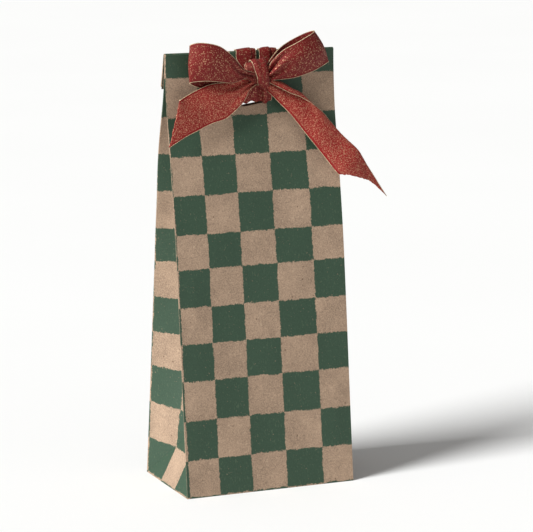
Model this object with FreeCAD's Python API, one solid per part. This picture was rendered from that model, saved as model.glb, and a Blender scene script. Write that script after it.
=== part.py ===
"""Tall block-bottom paper gift bag for a wine bottle, folded over at the top and tied with a ribbon bow.

Millimetres, +Z up. The origin is the middle of the bag's base, and the front of the bag faces -Y.
The paper is one glued sheet, cut here at its creases into the panels that a maker would name.
"""
import FreeCAD, Part
import math
import os

V = FreeCAD.Vector

# Bag
BAG_WIDTH = 140.0
BAG_DEPTH = 88.0
BAG_HEIGHT = 337.0
PAPER = 0.3            # thickness of one ply of paper
PANEL_STEPS = 14       # flat facets up each curved panel
FOOT_STEPS = 4         # and up the part of a gusset half beside its foot
LAP_WIDTH = 12.0       # glue lap of the long seam, inside the left front corner
BASE_OVERLAP = 24.0    # how far the two base flaps lap over each other
TUCK_REACH = 30.0      # how far a side tuck reaches in under the base
BASE_FIT = 0.2         # clearance of the base plies inside the panels
BASE_SIDE_GAP = 1.2    # base plies stop short of the leaning side feet

# Depth of the bag at each share of its height: 1 is the full base, 0 is pressed flat
BELLY = [(0.0, 1.0), (0.178, 0.84), (0.43, 0.62), (0.594, 0.46), (0.77, 0.225), (0.87, 0.07), (1.0, 0.0)]

# Top fold
FLAP_LENGTH = 25.0     # paper folded over to the back
FLAP_TILT = 14.0       # how far the flap springs away from the back, degrees
FLAP_GAP = 0.3         # the flap's plies stop short of the crest's by this

# Ribbon slot
SLOT_LENGTH = 30.0
SLOT_HEIGHT = 12.0
SLOT_X = 3.0
SLOT_DROP = 35.0       # middle of the slot below the top

# Ribbon
RIBBON = 0.4           # thickness
RIBBON_GAP = 0.4       # clearance over the moving flap
STRAND_CREST = [(-12.0, 4.0), (7.0, 21.5)]     # left and right edges of the two strands at the crest
STRAND_SLOT = [(-8.0, 3.0), (5.0, 15.0)]       # the same at the slot
KNOT_X = 3.0
KNOT_DROP = 18.0       # middle of the knot below the top
KNOT_WIDTH = 11.0
KNOT_HEIGHT = 17.0
KNOT_DEPTH = 9.0
KNOT_STANDOFF = 3.6    # back of the knot in front of the paper, over the strands
WRAP_WIDTH = 12.0
WRAP_ROUND = 2.5       # the wrap turns its corners over this depth
WRAP_DROP = 3.0        # and this height
CORE_PROUD = 2.0       # the core is wider than the knot by this each side
CORE_ROUND = 2.5
CORE_TRIM = 1.5        # and shorter than it by this at each end
SLOT_EXIT = 1.0        # the strands end this far behind the back panel and below the slot's middle
BIGHT_LIFT = 2.0       # the bight passes this far above and below the slot's middle
BIGHT_LEAN = 0.4       # and drops this much more on its way through
BIGHT_CLEAR = 0.6      # clearance of the bight in front of the front panel
BIGHT_REACH = 0.5      # and its reach behind the back panel

HALF_W = BAG_WIDTH / 2
HALF_D = BAG_DEPTH / 2
BACK_PLY, INNER_GUSSET_PLY, OUTER_GUSSET_PLY, LAP_PLY, FRONT_PLY = range(1, 6)   # order round the top fold
CREST_RADIUS = (FRONT_PLY + 1) * PAPER
CREST_Z = BAG_HEIGHT - CREST_RADIUS


def belly(z):
    """Share of the full depth at height z, on a smooth curve through the belly stations."""
    share = z / CREST_Z
    heights = [s[0] for s in BELLY]
    depths = [s[1] for s in BELLY]
    i = max(k for k in range(len(BELLY) - 1) if share >= heights[k] or k == 0)
    slopes = []
    for k in range(len(BELLY)):
        a, b = max(k - 1, 0), min(k + 1, len(BELLY) - 1)
        slopes.append((depths[b] - depths[a]) / (heights[b] - heights[a]))
    slopes[-1] = 0.0
    span = heights[i + 1] - heights[i]
    t = (share - heights[i]) / span
    return ((2 * t**3 - 3 * t**2 + 1) * depths[i] + (t**3 - 2 * t**2 + t) * span * slopes[i]
            + (3 * t**2 - 2 * t**3) * depths[i + 1] + (t**3 - t**2) * span * slopes[i + 1])


def front_y(z):
    """Printed face of the front panel."""
    return -(CREST_RADIUS + (HALF_D - CREST_RADIUS) * belly(z))


def back_y(z):
    """Printed face of the back panel, which runs up inside the fold at the top."""
    top = -BACK_PLY * PAPER
    return top + (HALF_D - top) * belly(z)


def solid_from(points, outlines):
    """Closed solid from flat outlines over a list of points, leaving out those with no area."""
    made = []
    for outline in outlines:
        corners = [points[k] for k in outline]
        corners = [p for k, p in enumerate(corners) if (p - corners[k - 1]).Length > 1e-6]
        if len(corners) > 2 and (corners[1] - corners[0]).cross(corners[2] - corners[0]).Length > 1e-6:
            made.append(Part.Face(Part.makePolygon(corners + [corners[0]])))
    return Part.makeSolid(Part.makeShell(made))


def sheet(outer, inner):
    """Thin solid between two grids of points: outer[row][column] and inner[row][column]."""
    rows, columns = len(outer), len(outer[0])
    points = [p for row in outer for p in row] + [p for row in inner for p in row]
    under = rows * columns
    outlines = []

    def patch(a, b, c, d):
        """A four-sided patch, cut into two triangles where its corners aren't in one plane."""
        p, q, r, s = [points[k] for k in (a, b, c, d)]
        if abs((q - p).cross(r - p).dot(s - p)) < 1e-9:
            outlines.append((a, b, c, d))
        else:
            outlines.extend([(a, b, c), (a, c, d)])

    for i in range(rows):
        for j in range(columns):
            a, b = i * columns + j, i * columns + j + 1
            d, c = a + columns, b + columns
            if i < rows - 1 and j < columns - 1:
                patch(a, b, c, d)
                patch(under + a, under + d, under + c, under + b)
            if i < rows - 1 and j == 0:
                patch(a, d, under + d, under + a)
            if i < rows - 1 and j == columns - 1:
                patch(d, a, under + a, under + d)
            if j < columns - 1 and i == 0:
                patch(b, a, under + a, under + b)
            if j < columns - 1 and i == rows - 1:
                patch(a, b, under + b, under + a)
    return solid_from(points, outlines)


def levels(low, high, count):
    return [low + (high - low) * k / count for k in range(count + 1)]


def panel_levels():
    """Heights of the facets' edges, shared by the panels, the lap and the gussets."""
    return levels(0.0, FOOT_Z, FOOT_STEPS) + levels(FOOT_Z, CREST_Z, PANEL_STEPS)[1:]


def ply_arc(ply, x0, x1):
    """The curved part of one ply round the top fold, from the front to where the flap leaves it."""
    sweep = 180.0 - FLAP_TILT
    outer = Part.makeCylinder((ply + 1) * PAPER, x1 - x0, V(x0, 0, CREST_Z), V(1, 0, 0))
    core = Part.makeCylinder(ply * PAPER, x1 - x0, V(x0, 0, CREST_Z), V(1, 0, 0))
    ring = outer.cut(core)
    reach = 4 * CREST_RADIUS
    keep = [V(x0, 0, CREST_Z)]
    for angle in (180.0, 180.0 - sweep / 3, 180.0 - 2 * sweep / 3, 180.0 - sweep):
        a = math.radians(angle)
        keep.append(V(x0, reach * math.cos(a), CREST_Z + reach * math.sin(a)))
    wedge = Part.Face(Part.makePolygon(keep + [keep[0]])).extrude(V(x1 - x0, 0, 0))
    return ring.common(wedge)


def panel(face_y, ply, inward):
    """Front or back panel: its facets from the base to the crease, and its share of the top fold."""
    steps = panel_levels()
    profile = [V(-HALF_W, face_y(z), z) for z in steps]
    profile += [V(-HALF_W, face_y(z) + inward * PAPER, z) for z in reversed(steps)]
    wall = Part.Face(Part.makePolygon(profile + [profile[0]])).extrude(V(BAG_WIDTH, 0, 0))
    return wall.fuse(ply_arc(ply, -HALF_W, HALF_W))


def ribbon_slot():
    """Rounded slot through both panels."""
    z = BAG_HEIGHT - SLOT_DROP
    r = SLOT_HEIGHT / 2
    a = SLOT_LENGTH / 2 - r
    deep = BAG_DEPTH
    middle = Part.makeBox(2 * a, deep, SLOT_HEIGHT, V(SLOT_X - a, -deep / 2, z - r))
    ends = [Part.makeCylinder(r, deep, V(SLOT_X + s * a, -deep / 2, z), V(0, 1, 0)) for s in (-1, 1)]
    return middle.fuse(ends)


def front_inside(z, side):
    """Face that a gusset's front edge meets: the glue lap on the left, the panel itself on the right."""
    return front_y(z) + PAPER * (2 if side < 0 else 1)


def back_inside(z):
    return back_y(z) - PAPER


def gusset_line(z, side, half):
    """Edge and centre crease of one gusset half at height z, on its printed face, and its push inwards."""
    room = (back_inside(z) - front_inside(z, side)) / 2
    inset = math.sqrt(max(HALF_D**2 - room**2, 0.0))
    push = V(-side * room, half * inset, 0).normalize() * PAPER
    wall = front_inside(z, side) if half < 0 else back_inside(z)
    edge = V(side * HALF_W, wall - push.y, z)
    crease = V(side * (HALF_W - inset), (front_inside(z, side) + back_inside(z)) / 2, z)
    return edge, crease, push


def foot_height():
    """Height at which the diagonal creases meet, as long from the corner as the flat gusset makes them."""
    z = HALF_D
    for _ in range(20):
        inset = HALF_W - abs(gusset_line(z, 1, 1)[1].x)
        z = math.sqrt(HALF_D**2 - inset**2)
    return z


def foot_apex(side):
    """Point where the gusset's centre crease meets its two diagonal creases."""
    return gusset_line(FOOT_Z, side, -1)[1]


def foot_corner(side, half):
    """Bottom corner of a gusset, where a diagonal crease starts."""
    push = gusset_line(FOOT_Z, side, half)[2]
    wall = front_inside(0, side) if half < 0 else back_inside(0)
    return V(side * HALF_W, wall - push.y, 0)


def gusset_half(side, half):
    """Front (half -1) or back (half +1) half of a side gusset, from its diagonal crease to the top fold."""
    apex = foot_apex(side)
    low_push = gusset_line(FOOT_Z, side, half)[2]
    corner = foot_corner(side, half)
    outer, inner = [], []
    for k, z in enumerate(levels(0.0, FOOT_Z, FOOT_STEPS)[:-1]):
        wall = front_inside(z, side) if half < 0 else back_inside(z)
        row = [V(side * HALF_W, wall - low_push.y, z), corner + (apex - corner) * (k / FOOT_STEPS)]
        outer.append(row)
        inner.append([p + low_push for p in row])
    for z in levels(FOOT_Z, CREST_Z, PANEL_STEPS):
        edge, crease, push = gusset_line(z, side, half)
        outer.append([edge, crease])
        inner.append([edge + push, crease + push])
    inset = HALF_W - abs(outer[-1][1].x)
    x0 = -HALF_W if side < 0 else HALF_W - inset
    return sheet(outer, inner).fuse(ply_arc(gusset_ply(side, half), x0, x0 + inset))


def gusset_ply(side, half):
    """Place of a gusset half in the order of plies round the top fold."""
    if half > 0:
        return INNER_GUSSET_PLY
    return OUTER_GUSSET_PLY if side < 0 else LAP_PLY


def gusset_foot(side):
    """Triangle at the bottom of a gusset, which leans in between the diagonal creases."""
    front, back, apex = foot_corner(side, -1), foot_corner(side, 1), foot_apex(side)
    normal = (back - front).cross(apex - front).normalize()
    push = V(-side * PAPER / abs(normal.x), 0, 0)
    points = [front, back, apex, front + push, back + push, apex + push]
    return solid_from(points, [(0, 1, 2), (5, 4, 3), (0, 3, 4, 1), (1, 4, 5, 2), (2, 5, 3, 0)])


def seam_lap():
    """Glue lap inside the front panel along its left edge, with its share of the top fold."""
    steps = panel_levels()
    profile = [V(-HALF_W, front_y(z) + PAPER, z) for z in steps]
    profile += [V(-HALF_W, front_y(z) + 2 * PAPER, z) for z in reversed(steps)]
    wall = Part.Face(Part.makePolygon(profile + [profile[0]])).extrude(V(LAP_WIDTH, 0, 0))
    return wall.fuse(ply_arc(LAP_PLY, -HALF_W, -HALF_W + LAP_WIDTH))


def base_edges():
    """Front and back edges of the folded base, just inside the panels and the lap."""
    return front_y(0) + 2 * PAPER + BASE_FIT, back_y(0) - PAPER - BASE_FIT


def base_plate(level, y0, y1):
    """One rectangular ply of the folded base, counted up from the ground."""
    reach = HALF_W - BASE_SIDE_GAP
    return Part.makeBox(2 * reach, y1 - y0, PAPER, V(-reach, y0, level * PAPER))


def base_tuck(side):
    """Trapezoid tucked in under the base from one side, with its corners folded at 45 degrees."""
    z = 2 * PAPER
    outer_x, inner_x = side * (HALF_W - BASE_SIDE_GAP), side * (HALF_W - BASE_SIDE_GAP - TUCK_REACH)
    front, back = base_edges()
    corners = [V(outer_x, front, z), V(outer_x, back, z), V(inner_x, back - TUCK_REACH, z),
               V(inner_x, front + TUCK_REACH, z)]
    return Part.Face(Part.makePolygon(corners + [corners[0]])).extrude(V(0, 0, PAPER))


def flap_ply(ply, x0, x1):
    """Straight part of one ply, hanging behind the bag from the top fold."""
    plate = Part.makeBox(x1 - x0, PAPER, FLAP_LENGTH - FLAP_GAP, V(x0, ply * PAPER, CREST_Z - FLAP_LENGTH))
    plate.rotate(V(0, 0, CREST_Z), V(1, 0, 0), FLAP_TILT)
    return plate


def strip(stations):
    """Ribbon through stations of (one edge, other edge), as thick as the ribbon."""
    outer, inner = [], []
    for k, (a, b) in enumerate(stations):
        before, after = stations[max(k - 1, 0)], stations[min(k + 1, len(stations) - 1)]
        along = (V(*after[0]) + V(*after[1])) - (V(*before[0]) + V(*before[1]))
        across = V(*b) - V(*a)
        normal = across.cross(along).normalize() * RIBBON
        outer.append([V(*a), V(*b)])
        inner.append([V(*a) + normal, V(*b) + normal])
    return sheet(outer, inner)


# Edges of the bow's loose parts as (lower or left edge, upper or right edge), from the knot outwards.
# Each edge is (x, y, drop below the top of the bag).
LEFT_TAIL = [((-4, -6.5, 29), (-9, -6, 24)), ((-12, -7, 37), (-18, -6, 23)),
             ((-20, -10, 44), (-30, -7, 23)), ((-37, -14, 53), (-46, -11, 29)),
             ((-57, -18, 60), (-64, -16, 37)), ((-74, -20, 69), (-75, -20, 66))]
RIGHT_TAIL = [((12, -7, 31), (17, -6.5, 26)), ((19, -11, 39), (29, -8, 29)),
              ((27, -17, 48), (42, -9, 38)), ((41, -25, 67), (57, -10, 51)),
              ((55, -29, 85), (73, -14, 72)), ((62, -31, 95), (90, -20, 93)),
              ((104, -26, 117), (106, -26, 115))]
LEFT_LOOP = [((-8, -12.8, 21), (-8, -12.8, 11)), ((-20, -20, 21.5), (-20, -19, 2)),
             ((-34, -24, 20), (-32, -23, -6)), ((-47, -23, 19.5), (-46, -21, -9)),
             ((-55, -17, 21), (-55, -15, -7.5)), ((-52, -12, 22.5), (-52, -9, -5)),
             ((-40, -11.5, 23.5), (-40, -8, -2)), ((-24, -11, 24.5), (-24, -9, 4)),
             ((-8, -10.5, 24), (-8, -10.5, 15))]
RIGHT_LOOP = [((13, -12.8, 22), (13, -12.8, 11)), ((24, -17, 21), (23, -15, -1)),
              ((38, -20, 18), (33, -17, -7)), ((52, -18, 14), (47, -15, -13)),
              ((60, -13, 10), (49, -10, -14)), ((54, -9, 12), (44, -6, -14)),
              ((40, -9, 16), (36, -5, -9)), ((26, -10, 20), (24, -6, -1)),
              ((13, -10.5, 23), (13, -10.5, 14))]


def hung(stations):
    """Stations given as drops below the top of the bag, as heights."""
    return [tuple((x, y, BAG_HEIGHT - drop) for x, y, drop in edges) for edges in stations]


def over_the_top(x_crest, x_slot):
    """Stations of a ribbon strand from the slot at the back, up over the flap and the fold, to the knot."""
    lift = CREST_RADIUS + RIBBON_GAP
    slot_z = BAG_HEIGHT - SLOT_DROP
    tilt = math.radians(FLAP_TILT)
    stations = [(back_y(slot_z) + SLOT_EXIT, slot_z - SLOT_EXIT, 0.0)]
    for share in (1.0, 0.5, 0.0):
        down = share * (FLAP_LENGTH + 2 * RIBBON_GAP)
        stations.append((lift * math.cos(tilt) + down * math.sin(tilt),
                         CREST_Z + lift * math.sin(tilt) - down * math.cos(tilt), 1 - share))
    for angle in (45.0, 90.0, 135.0, 180.0):
        a = math.radians(angle)
        stations.append((lift * math.cos(a), CREST_Z + lift * math.sin(a), 1.0))
    knot_top = BAG_HEIGHT - KNOT_DROP + KNOT_HEIGHT / 2
    stations.append((front_y(knot_top) - RIBBON_GAP, knot_top, 0.7))
    made = []
    for y, z, share in stations:
        x0, x1 = [s + (c - s) * share for s, c in zip(x_slot, x_crest)]
        made.append(((x1, y, z), (x0, y, z)))
    return made


def through_the_slot():
    """Stations of the doubled ribbon from under the knot down into the slot and out at the back."""
    slot_z = BAG_HEIGHT - SLOT_DROP
    x0, x1 = STRAND_SLOT[0][0], STRAND_SLOT[1][1]
    knot_base = BAG_HEIGHT - KNOT_DROP - KNOT_HEIGHT / 2
    under_knot = -KNOT_STANDOFF - BIGHT_LIFT
    path = [(under_knot, knot_base - 2 * RIBBON), (under_knot, slot_z + BIGHT_LIFT),
            (front_y(slot_z) - BIGHT_CLEAR, slot_z - BIGHT_LIFT),
            (back_y(slot_z) + BIGHT_REACH, slot_z - BIGHT_LIFT - BIGHT_LEAN)]
    return [((x0, y, z), (x1, y, z)) for y, z in path]


def knot_core():
    """Gathered ribbon inside the knot."""
    z = BAG_HEIGHT - KNOT_DROP
    corner = V(KNOT_X - KNOT_WIDTH / 2 - CORE_PROUD, -KNOT_STANDOFF - KNOT_DEPTH + RIBBON * 2,
               z - KNOT_HEIGHT / 2 + CORE_TRIM)
    body = Part.makeBox(KNOT_WIDTH + 2 * CORE_PROUD, KNOT_DEPTH - RIBBON * 2, KNOT_HEIGHT - 2 * CORE_TRIM, corner)
    return body.makeFillet(CORE_ROUND, body.Edges)


def knot_wrap():
    """Turn of ribbon down over the front of the knot."""
    z = BAG_HEIGHT - KNOT_DROP
    back, front = -KNOT_STANDOFF, -KNOT_STANDOFF - KNOT_DEPTH
    top, bottom = z + KNOT_HEIGHT / 2, z - KNOT_HEIGHT / 2
    x0 = KNOT_X - WRAP_WIDTH / 2
    path = [(back, top), (front + WRAP_ROUND, top), (front, top - WRAP_DROP), (front, bottom + WRAP_DROP),
            (front + WRAP_ROUND, bottom), (back, bottom)]
    return strip([((x0 + WRAP_WIDTH, y, h), (x0, y, h)) for y, h in path])


FOOT_Z = foot_height()


def write(name, shape):
    shape.exportStep(os.path.join("parts", name + ".step"))
    solids = shape.Solids
    print(name, "solids", len(solids), "valid", shape.isValid(), "volume %.1f" % shape.Volume)


os.makedirs("parts", exist_ok=True)
slot = ribbon_slot()
write("front_panel", panel(front_y, FRONT_PLY, 1).cut(slot))
write("back_panel", panel(back_y, BACK_PLY, -1).cut(slot))
write("seam_lap", seam_lap())
for side_name, side in (("left", -1), ("right", 1)):
    write(side_name + "_gusset_front", gusset_half(side, -1))
    write(side_name + "_gusset_back", gusset_half(side, 1))
    write(side_name + "_gusset_foot", gusset_foot(side))
    write(side_name + "_base_tuck", base_tuck(side))
base_front, base_back = base_edges()
write("front_base_flap", base_plate(0, base_front, BASE_OVERLAP / 2))
write("back_base_flap", base_plate(1, -BASE_OVERLAP / 2, base_back))
write("top_flap_outer_ply", flap_ply(FRONT_PLY, -HALF_W, HALF_W))
write("top_flap_inner_ply", flap_ply(BACK_PLY, -HALF_W, HALF_W))
write("top_flap_left_gusset", flap_ply(OUTER_GUSSET_PLY, -HALF_W, -HALF_W + HALF_D))
write("top_flap_right_gusset", flap_ply(OUTER_GUSSET_PLY, HALF_W - HALF_D, HALF_W))
write("ribbon_left_strand", strip(over_the_top(STRAND_CREST[0], STRAND_SLOT[0])))
write("ribbon_right_strand", strip(over_the_top(STRAND_CREST[1], STRAND_SLOT[1])))
write("ribbon_slot_bight", strip(through_the_slot()))
write("knot_core", knot_core())
write("knot_wrap", knot_wrap())
write("left_loop", strip(hung(LEFT_LOOP)))
write("right_loop", strip(hung(RIGHT_LOOP)))
write("left_tail", strip(hung(LEFT_TAIL)))
write("right_tail", strip(hung(RIGHT_TAIL)))
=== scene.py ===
"""Wine gift bag: a checked kraft paper bottle bag, folded over at the top and tied with a ribbon bow.

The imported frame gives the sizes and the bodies. Everything here is in metres, +Z up, front facing -Y.
"""
import bisect
import math

import bmesh
import bpy
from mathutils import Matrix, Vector, noise


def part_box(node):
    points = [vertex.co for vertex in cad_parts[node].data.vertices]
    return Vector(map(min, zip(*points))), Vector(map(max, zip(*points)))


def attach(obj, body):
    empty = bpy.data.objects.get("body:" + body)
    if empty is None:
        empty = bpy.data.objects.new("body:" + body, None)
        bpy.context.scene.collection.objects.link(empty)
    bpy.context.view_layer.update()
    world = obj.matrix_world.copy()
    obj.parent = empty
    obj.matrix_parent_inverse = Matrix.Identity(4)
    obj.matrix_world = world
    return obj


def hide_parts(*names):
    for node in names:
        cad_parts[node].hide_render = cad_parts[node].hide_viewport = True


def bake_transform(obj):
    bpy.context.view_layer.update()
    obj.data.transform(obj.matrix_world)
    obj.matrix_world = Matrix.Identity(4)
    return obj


bl_info = {
    "name": "Wine Gift Bag",
    "version": (1, 0, 0),
    "blender": (4, 5, 0),
    "location": "3D View > Sidebar > Gift Bag",
    "description": "Builds a checked paper bottle bag with a ribbon bow around its packed frame",
    "category": "Object",
}

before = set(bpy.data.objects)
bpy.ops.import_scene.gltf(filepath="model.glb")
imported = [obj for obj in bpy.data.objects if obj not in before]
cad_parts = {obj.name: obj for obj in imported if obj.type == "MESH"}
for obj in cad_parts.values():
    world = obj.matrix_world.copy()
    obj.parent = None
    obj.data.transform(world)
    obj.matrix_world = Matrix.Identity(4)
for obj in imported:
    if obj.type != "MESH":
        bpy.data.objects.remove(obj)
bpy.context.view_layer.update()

MM = 0.001


# Sizes taken from the frame
PANEL_LOW, PANEL_HIGH = [Vector(corner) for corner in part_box("front_panel")]
HALF_W = (PANEL_HIGH.x - PANEL_LOW.x) / 2
HALF_D = -PANEL_LOW.y
BAG_HEIGHT = PANEL_HIGH.z
FLAP_END_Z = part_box("top_flap_outer_ply")[0][2]
PLY = 0.3 * MM                       # pitch of the plies in the frame
CREST_RADIUS = 6 * PLY
CREST_Z = BAG_HEIGHT - CREST_RADIUS
FLAP_TILT = math.radians(14.0)
FOOT_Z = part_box("left_gusset_foot")[1][2]
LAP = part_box("seam_lap")[1][0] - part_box("seam_lap")[0][0]

# Share of the full depth at each share of the height, as the frame's panels have it
BELLY = [(0.0, 1.0), (0.178, 0.84), (0.43, 0.62), (0.594, 0.46), (0.77, 0.225), (0.87, 0.07), (1.0, 0.0)]


# ---------------------------------------------------------------- settings


def size_of(name, description, default, **limits):
    return bpy.props.FloatProperty(name=name, description=description, default=default, unit="LENGTH", **limits)


def angle_of(name, description, degrees):
    return bpy.props.FloatProperty(name=name, description=description, default=math.radians(degrees),
                                   unit="ROTATION")


def colour_of(name, description, rgb):
    return bpy.props.FloatVectorProperty(name=name, description=description, default=(*rgb, 1.0), size=4,
                                         subtype="COLOR")


class PaperSettings(bpy.types.PropertyGroup):
    """Sizes and colours of the paper."""
    thickness: size_of("Thickness", "Thickness of the paper", 0.22 * MM, min=0.05 * MM)
    cell: size_of("Cell", "Spacing of the mesh across the panels", 2.6 * MM, min=1 * MM)
    buckle: size_of("Buckle", "Height of the paper's shallow waves", 0.7 * MM)
    kraft: colour_of("Kraft", "Colour of the unprinted paper", (0.352, 0.246, 0.170))
    ink: colour_of("Ink", "Colour of the printed squares", (0.033, 0.067, 0.040))


class PrintSettings(bpy.types.PropertyGroup):
    """Layout of the printed check."""
    square: size_of("Square", "Side of a printed square", 29.3 * MM)
    bottom_edge: size_of("Bottom edge", "Height of the lowest printed edge above the base fold", 1.0 * MM)
    slant: angle_of("Slant", "Lean of the print against the paper's folds", 0.35)
    ragged: size_of("Ragged", "How far the edges of the squares wander", 0.8 * MM)


class RibbonSettings(bpy.types.PropertyGroup):
    """Sizes and colours of the ribbon."""
    width: size_of("Width", "Width of the ribbon", 28 * MM)
    thickness: size_of("Thickness", "Thickness of the ribbon", 0.3 * MM)
    red: colour_of("Red", "Colour of the woven ground", (0.235, 0.010, 0.009))
    lurex: colour_of("Lurex", "Colour of the glitter in the weave", (0.90, 0.44, 0.27))
    gold: colour_of("Gold", "Colour of the edge stitching", (0.76, 0.57, 0.36))
    stitch_pitch: size_of("Stitch pitch", "Spacing of the gold stitches along the edges", 0.8 * MM)
    stitch_radius: size_of("Stitch radius", "Half the thickness of a stitch", 0.30 * MM)
    stitch_length: size_of("Stitch length", "Half the length of a stitch", 0.58 * MM)


class StageSettings(bpy.types.PropertyGroup):
    """Camera and light."""
    azimuth: angle_of("Azimuth", "Camera's turn to the bag's left", -22.87)
    elevation: angle_of("Elevation", "Camera's height above level", 10.47)
    distance: size_of("Distance", "Camera's distance from the middle of the bag", 1.975)
    focal: bpy.props.FloatProperty(
        name="Focal length", description="Lens, in millimetres, on a 36 mm sensor", default=171.4, unit="CAMERA")
    floor: colour_of("Floor", "Colour of the floor", (0.95, 0.947, 0.94))


# ---------------------------------------------------------------- shaders


def tint(colour, factor):
    """The colour, lighter or darker by a factor."""
    return tuple(min(c * factor, 1.0) for c in colour[:3]) + (1.0,)


class Wiring:
    """Short ways to add and link nodes in one tree."""

    def __init__(self, tree):
        self.tree, self.nodes = tree, tree.nodes

    def feed(self, socket, value):
        if isinstance(value, bpy.types.NodeSocket):
            self.tree.links.new(value, socket)
        elif value is not None:
            socket.default_value = value

    def fill(self, node, **values):
        """Feed a node's inputs by name, with _ for a space."""
        for label, value in values.items():
            self.feed(node.inputs[label.replace("_", " ")], value)
        return node.outputs

    def group(self, tree, **values):
        node = self.nodes.new("ShaderNodeGroup")
        node.node_tree = tree
        return self.fill(node, **values)

    def maths(self, operation, *values):
        node = self.nodes.new("ShaderNodeMath")
        node.operation = operation
        for socket, value in zip(node.inputs, values):
            self.feed(socket, value)
        return node.outputs[0]

    def plus(self, a, b):
        return self.maths("ADD", a, b)

    def minus(self, a, b):
        return self.maths("SUBTRACT", a, b)

    def times(self, a, b):
        return self.maths("MULTIPLY", a, b)

    def noise(self, vector, scale, detail=2.0, rough=0.5):
        node = self.nodes.new("ShaderNodeTexNoise")
        return self.fill(node, Vector=vector, Scale=scale, Detail=detail, Roughness=rough)["Fac"]

    def cells(self, vector, scale):
        return self.fill(self.nodes.new("ShaderNodeTexVoronoi"), Vector=vector, Scale=scale)

    def ramp(self, value, low, high):
        """0 below low, 1 above high, smooth between."""
        node = self.nodes.new("ShaderNodeMapRange")
        node.interpolation_type = "SMOOTHSTEP"
        return self.fill(node, Value=value, From_Min=low, From_Max=high)["Result"]

    def mix(self, factor, a, b):
        node = self.nodes.new("ShaderNodeMix")
        node.data_type = "RGBA"
        for socket, value in ((0, factor), (6, a), (7, b)):
            self.feed(node.inputs[socket], value)
        return node.outputs[2]

    def stretch(self, vector, factors):
        node = self.nodes.new("ShaderNodeVectorMath")
        node.operation = "MULTIPLY"
        self.feed(node.inputs[0], vector)
        node.inputs[1].default_value = factors
        return node.outputs[0]

    def split(self, vector):
        return self.fill(self.nodes.new("ShaderNodeSeparateXYZ"), Vector=vector)

    def uv(self, name):
        node = self.nodes.new("ShaderNodeUVMap")
        node.uv_map = name
        return node.outputs[0]

    def place(self):
        return self.nodes.new("ShaderNodeTexCoord").outputs["Object"]

    def bump(self, height, distance, strength):
        node = self.nodes.new("ShaderNodeBump")
        return self.fill(node, Strength=strength, Distance=distance, Height=height)["Normal"]

    def leave(self, **results):
        """Add a group's outputs and feed them. Returns the group."""
        for label in results:
            self.tree.interface.new_socket(label, in_out="OUTPUT", socket_type="NodeSocketFloat")
        self.fill(self.nodes.new("NodeGroupOutput"), **results)
        return self.tree


def new_material(name):
    """A material with one Principled BSDF. Returns (material, its shader, its wiring)."""
    material = bpy.data.materials.new(name)
    material.use_nodes = True
    return material, material.node_tree.nodes["Principled BSDF"], Wiring(material.node_tree)


def new_group(name, **inputs):
    """A shader node group. An input of None is a vector, and a number is a float's default."""
    tree = bpy.data.node_groups.new(name, "ShaderNodeTree")
    for label, default in inputs.items():
        kind = "NodeSocketVector" if default is None else "NodeSocketFloat"
        socket = tree.interface.new_socket(label.replace("_", " "), in_out="INPUT", socket_type=kind)
        if default is not None:
            socket.default_value = default
    return Wiring(tree), tree.nodes.new("NodeGroupInput").outputs


def kraft_fibre_group():
    """Pulp mottling, long fibres and bark specks of kraft paper, in object space."""
    w, entry = new_group("Kraft fibres", Place=None, Speck_amount=0.5)
    place = entry["Place"]
    pulp = w.noise(place, 1300.0, 3.0, 0.7)
    mottle = w.plus(w.times(w.noise(place, 45.0, 3.0, 0.6), 0.25), w.times(pulp, 0.75))
    fibre = w.ramp(w.noise(w.stretch(place, (1.0, 1.0, 0.35)), 950.0), 0.60, 0.74)
    dots = w.cells(w.stretch(place, (1.0, 1.0, 0.75)), 210.0)["Distance"]
    chance = w.ramp(w.noise(place, 190.0, 1.0), 0.55, 0.62)
    near = w.minus(1.0, w.ramp(dots, 0.05, 0.17))
    speck = w.times(w.times(near, chance), entry["Speck amount"])
    return w.leave(Mottle=mottle, Fibre=fibre, Speck=speck, Height=w.plus(pulp, w.times(fibre, 0.4)))


def block_print_group():
    """Mask of a hand-printed check. Check holds columns and rows counted in squares; 1 is inked."""
    w, entry = new_group("Block print", Check=None, Place=None, Ragged=0.03)
    place = entry["Place"]
    columns, rows, _ = w.split(entry["Check"])

    def wander(value, shift, gain):
        rough = w.times(w.noise(place, 820.0 + shift, 5.0, 0.75), 3.0)
        slow = w.times(w.noise(place, 110.0 + shift), 1.6)
        off_middle = w.minus(w.plus(rough, slow), 2.3)
        return w.plus(value, w.times(off_middle, w.times(entry["Ragged"], gain)))

    across = w.maths("FLOOR", wander(columns, 0.0, 1.7))
    up = w.maths("FLOOR", wander(rows, 31.0, 2.3))
    parity = w.maths("FLOORED_MODULO", w.plus(across, up), 2.0)
    pinholes = w.ramp(w.noise(place, 700.0, 3.0, 0.6), 0.66, 0.74)
    ink = w.times(parity, w.minus(1.0, w.times(pinholes, 0.75)))
    return w.leave(Ink=ink, Coverage=w.noise(place, 1100.0, 4.0, 0.7))


def worn_fold_group():
    """Scuffed lines where a fold has broken the print. Fold is 1 on a crease."""
    w, entry = new_group("Worn fold", Fold=0.0, Place=None, Wear=0.5)
    patchy = w.noise(entry["Place"], 260.0, 4.0, 0.7)
    line = w.times(entry["Fold"], w.times(entry["Wear"], 2.0))
    return w.leave(Scuff=w.ramp(w.times(line, patchy), 0.30, 0.62))


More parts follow.
